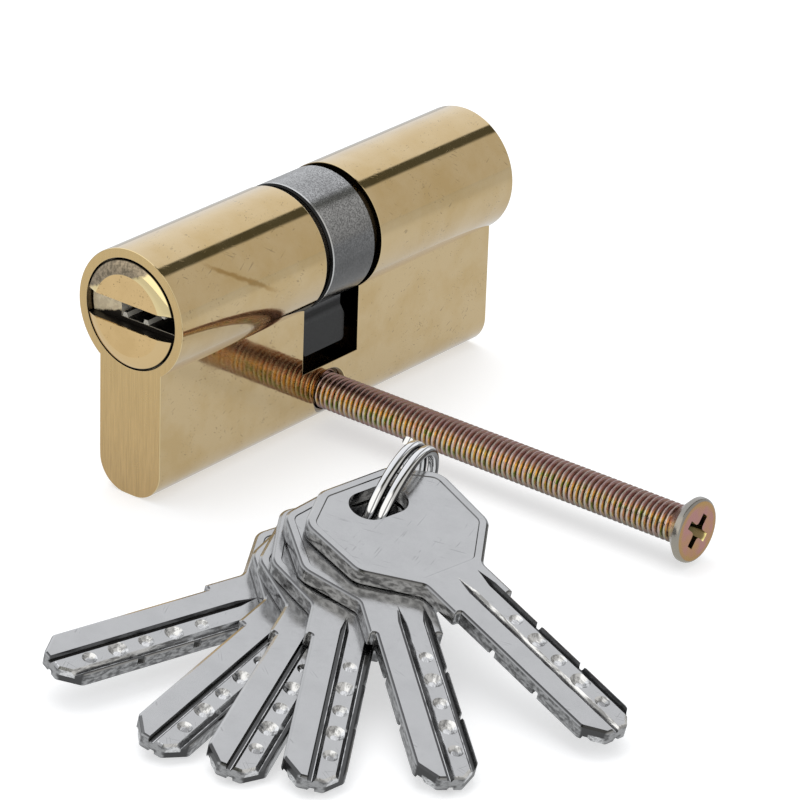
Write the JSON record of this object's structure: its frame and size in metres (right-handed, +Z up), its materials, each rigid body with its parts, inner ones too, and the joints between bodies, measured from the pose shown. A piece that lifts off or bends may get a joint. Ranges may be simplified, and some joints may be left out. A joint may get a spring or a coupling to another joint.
{
  "type": "euro profile double lock cylinder",
  "caption": "Brass Euro-profile double lock cylinder with a grey cam in its slot, a long countersunk fixing screw, and a bunch of dimple keys on a split ring.",
  "frame": {"origin": "on the barrel axis, half-way along the cam slot", "axes": "+Y along the barrel from the front face to the rear face, +Z up with the flange hanging down, +X the side the fixing screw comes out of"},
  "size_m": [0.0922, 0.1127, 0.033],
  "materials": {
    "body_brass": "polished, fine scratches and pits",
    "plug_brass": "turned and polished",
    "pin_brass": "turned",
    "cam_sintered_steel": "sintered, fine grain",
    "clutch_steel": "machined",
    "spring_steel": "drawn",
    "yellow_zinc": "yellow passivated zinc, iridescent",
    "key_nickel": "nickel plated, satin",
    "ring_chrome": "nickel plated, bright"
  },
  "bodies": {
    "root": {"body": "body_brass", "front_chamber_caps": "body_brass", "rear_chamber_caps": "body_brass", "key_ring": "ring_chrome", "front_spring_1": "spring_steel", "front_spring_2": "spring_steel", "front_spring_3": "spring_steel", "front_spring_4": "spring_steel", "front_spring_5": "spring_steel", "rear_spring_1": "spring_steel", "rear_spring_2": "spring_steel", "rear_spring_3": "spring_steel", "rear_spring_4": "spring_steel", "rear_spring_5": "spring_steel"},
    "front_plug": {"front_plug": "plug_brass", "front_circlip": "spring_steel"},
    "rear_plug": {"rear_plug": "plug_brass", "rear_circlip": "spring_steel"},
    "cam": {"cam": "cam_sintered_steel"},
    "front_coupler": {"front_coupler": "clutch_steel", "clutch_spring": "spring_steel"},
    "rear_coupler": {"rear_coupler": "clutch_steel"},
    "fixing_screw": {"fixing_screw": "yellow_zinc"},
    "front_key_pin_1": {"front_key_pin_1": "pin_brass"},
    "front_driver_pin_1": {"front_driver_pin_1": "pin_brass"},
    "front_key_pin_2": {"front_key_pin_2": "pin_brass"},
    "front_driver_pin_2": {"front_driver_pin_2": "pin_brass"},
    "front_key_pin_3": {"front_key_pin_3": "pin_brass"},
    "front_driver_pin_3": {"front_driver_pin_3": "pin_brass"},
    "front_key_pin_4": {"front_key_pin_4": "pin_brass"},
    "front_driver_pin_4": {"front_driver_pin_4": "pin_brass"},
    "front_key_pin_5": {"front_key_pin_5": "pin_brass"},
    "front_driver_pin_5": {"front_driver_pin_5": "pin_brass"},
    "rear_key_pin_1": {"rear_key_pin_1": "pin_brass"},
    "rear_driver_pin_1": {"rear_driver_pin_1": "pin_brass"},
    "rear_key_pin_2": {"rear_key_pin_2": "pin_brass"},
    "rear_driver_pin_2": {"rear_driver_pin_2": "pin_brass"},
    "rear_key_pin_3": {"rear_key_pin_3": "pin_brass"},
    "rear_driver_pin_3": {"rear_driver_pin_3": "pin_brass"},
    "rear_key_pin_4": {"rear_key_pin_4": "pin_brass"},
    "rear_driver_pin_4": {"rear_driver_pin_4": "pin_brass"},
    "rear_key_pin_5": {"rear_key_pin_5": "pin_brass"},
    "rear_driver_pin_5": {"rear_driver_pin_5": "pin_brass"},
    "key_1": {"key_1": "key_nickel"},
    "key_2": {"key_2": "key_nickel"},
    "key_3": {"key_3": "key_nickel"},
    "key_4": {"key_4": "key_nickel"},
    "key_5": {"key_5": "key_nickel"},
    "key_6": {"key_6": "key_nickel"}
  },
  "joints": [
    {"name": "front_plug_turn", "type": "hinge", "parent": "root", "child": "front_plug", "pos_m": [0, 0, 0], "axis": [0, 1, 0], "range_deg": [-360, 360]},
    {"name": "rear_plug_turn", "type": "hinge", "parent": "root", "child": "rear_plug", "pos_m": [0, 0, 0], "axis": [0, 1, 0], "range_deg": [-360, 360]},
    {"name": "cam_turn", "type": "hinge", "parent": "root", "child": "cam", "pos_m": [0, 0, 0], "axis": [0, 1, 0], "range_deg": [-360, 360]},
    {"name": "front_coupler_shift", "type": "slide", "parent": "front_plug", "child": "front_coupler", "axis": [0, -1, 0], "range_m": [0, 0.0009]},
    {"name": "rear_coupler_shift", "type": "slide", "parent": "rear_plug", "child": "rear_coupler", "axis": [0, -1, 0], "range_m": [0, 0.0009]},
    {"name": "front_key_pin_1_slide", "type": "slide", "parent": "front_plug", "child": "front_key_pin_1", "axis": [0, 0, 1], "range_m": [-0.0004, 0.0016]},
    {"name": "front_driver_pin_1_slide", "type": "slide", "parent": "root", "child": "front_driver_pin_1", "axis": [0, 0, 1], "range_m": [-0.0004, 0.0016], "deforming": ["front_spring_1"]},
    {"name": "front_key_pin_2_slide", "type": "slide", "parent": "front_plug", "child": "front_key_pin_2", "axis": [0, 0, 1], "range_m": [-0.0007, 0.0013]},
    {"name": "front_driver_pin_2_slide", "type": "slide", "parent": "root", "child": "front_driver_pin_2", "axis": [0, 0, 1], "range_m": [-0.0007, 0.0013], "deforming": ["front_spring_2"]},
    {"name": "front_key_pin_3_slide", "type": "slide", "parent": "front_plug", "child": "front_key_pin_3", "axis": [0, 0, 1], "range_m": [-0.0005, 0.0015]},
    {"name": "front_driver_pin_3_slide", "type": "slide", "parent": "root", "child": "front_driver_pin_3", "axis": [0, 0, 1], "range_m": [-0.0005, 0.0015], "deforming": ["front_spring_3"]},
    {"name": "front_key_pin_4_slide", "type": "slide", "parent": "front_plug", "child": "front_key_pin_4", "axis": [0, 0, 1], "range_m": [-0.00075, 0.00125]},
    {"name": "front_driver_pin_4_slide", "type": "slide", "parent": "root", "child": "front_driver_pin_4", "axis": [0, 0, 1], "range_m": [-0.00075, 0.00125], "deforming": ["front_spring_4"]},
    {"name": "front_key_pin_5_slide", "type": "slide", "parent": "front_plug", "child": "front_key_pin_5", "axis": [0, 0, 1], "range_m": [-0.00045, 0.00155]},
    {"name": "front_driver_pin_5_slide", "type": "slide", "parent": "root", "child": "front_driver_pin_5", "axis": [0, 0, 1], "range_m": [-0.00045, 0.00155], "deforming": ["front_spring_5"]},
    {"name": "rear_key_pin_1_slide", "type": "slide", "parent": "rear_plug", "child": "rear_key_pin_1", "axis": [0, 0, 1], "range_m": [-0.0004, 0.0016]},
    {"name": "rear_driver_pin_1_slide", "type": "slide", "parent": "root", "child": "rear_driver_pin_1", "axis": [0, 0, 1], "range_m": [-0.0004, 0.0016], "deforming": ["rear_spring_1"]},
    {"name": "rear_key_pin_2_slide", "type": "slide", "parent": "rear_plug", "child": "rear_key_pin_2", "axis": [0, 0, 1], "range_m": [-0.0007, 0.0013]},
    {"name": "rear_driver_pin_2_slide", "type": "slide", "parent": "root", "child": "rear_driver_pin_2", "axis": [0, 0, 1], "range_m": [-0.0007, 0.0013], "deforming": ["rear_spring_2"]},
    {"name": "rear_key_pin_3_slide", "type": "slide", "parent": "rear_plug", "child": "rear_key_pin_3", "axis": [0, 0, 1], "range_m": [-0.0005, 0.0015]},
    {"name": "rear_driver_pin_3_slide", "type": "slide", "parent": "root", "child": "rear_driver_pin_3", "axis": [0, 0, 1], "range_m": [-0.0005, 0.0015], "deforming": ["rear_spring_3"]},
    {"name": "rear_key_pin_4_slide", "type": "slide", "parent": "rear_plug", "child": "rear_key_pin_4", "axis": [0, 0, 1], "range_m": [-0.00075, 0.00125]},
    {"name": "rear_driver_pin_4_slide", "type": "slide", "parent": "root", "child": "rear_driver_pin_4", "axis": [0, 0, 1], "range_m": [-0.00075, 0.00125], "deforming": ["rear_spring_4"]},
    {"name": "rear_key_pin_5_slide", "type": "slide", "parent": "rear_plug", "child": "rear_key_pin_5", "axis": [0, 0, 1], "range_m": [-0.00045, 0.00155]},
    {"name": "rear_driver_pin_5_slide", "type": "slide", "parent": "root", "child": "rear_driver_pin_5", "axis": [0, 0, 1], "range_m": [-0.00045, 0.00155], "deforming": ["rear_spring_5"]},
    {"name": "fixing_screw_travel", "type": "slide", "parent": "root", "child": "fixing_screw", "axis": [1, 0, 0], "range_m": [-0.056, 0.0068]},
    {"name": "key_1_swivel", "type": "hinge", "parent": "root", "child": "key_1", "pos_m": [0.03967, -0.03554, -0.02029], "axis": [0.2644, -0.061, 0.9625], "range_deg": [-20, 0]},
    {"name": "key_2_swivel", "type": "hinge", "parent": "root", "child": "key_2", "pos_m": [0.04053, -0.03676, -0.01847], "axis": [0.2644, -0.061, 0.9625], "range_deg": [-20, 0]},
    {"name": "key_3_swivel", "type": "hinge", "parent": "root", "child": "key_3", "pos_m": [0.04121, -0.03738, -0.01657], "axis": [0.2644, -0.061, 0.9625], "range_deg": [-20, 0]},
    {"name": "key_4_swivel", "type": "hinge", "parent": "root", "child": "key_4", "pos_m": [0.04175, -0.0375, -0.01459], "axis": [0.2644, -0.061, 0.9625], "range_deg": [-20, 0]},
    {"name": "key_5_swivel", "type": "hinge", "parent": "root", "child": "key_5", "pos_m": [0.04215, -0.03714, -0.01255], "axis": [0.2644, -0.061, 0.9625], "range_deg": [-20, 0]},
    {"name": "key_6_swivel", "type": "hinge", "parent": "root", "child": "key_6", "pos_m": [0.04238, -0.03616, -0.01042], "axis": [0.2644, -0.061, 0.9625], "range_deg": [-20, 0]}
  ],
  "couplings": [
    {"joint": "cam_turn", "follows": "front_plug_turn", "ratio": 1},
    {"joint": "rear_coupler_shift", "follows": "front_coupler_shift", "ratio": 1},
    {"joint": "front_driver_pin_1_slide", "follows": "front_key_pin_1_slide", "ratio": 1},
    {"joint": "front_driver_pin_2_slide", "follows": "front_key_pin_2_slide", "ratio": 1},
    {"joint": "front_driver_pin_3_slide", "follows": "front_key_pin_3_slide", "ratio": 1},
    {"joint": "front_driver_pin_4_slide", "follows": "front_key_pin_4_slide", "ratio": 1},
    {"joint": "front_driver_pin_5_slide", "follows": "front_key_pin_5_slide", "ratio": 1},
    {"joint": "rear_driver_pin_1_slide", "follows": "rear_key_pin_1_slide", "ratio": 1},
    {"joint": "rear_driver_pin_2_slide", "follows": "rear_key_pin_2_slide", "ratio": 1},
    {"joint": "rear_driver_pin_3_slide", "follows": "rear_key_pin_3_slide", "ratio": 1},
    {"joint": "rear_driver_pin_4_slide", "follows": "rear_key_pin_4_slide", "ratio": 1},
    {"joint": "rear_driver_pin_5_slide", "follows": "rear_key_pin_5_slide", "ratio": 1}
  ]
}
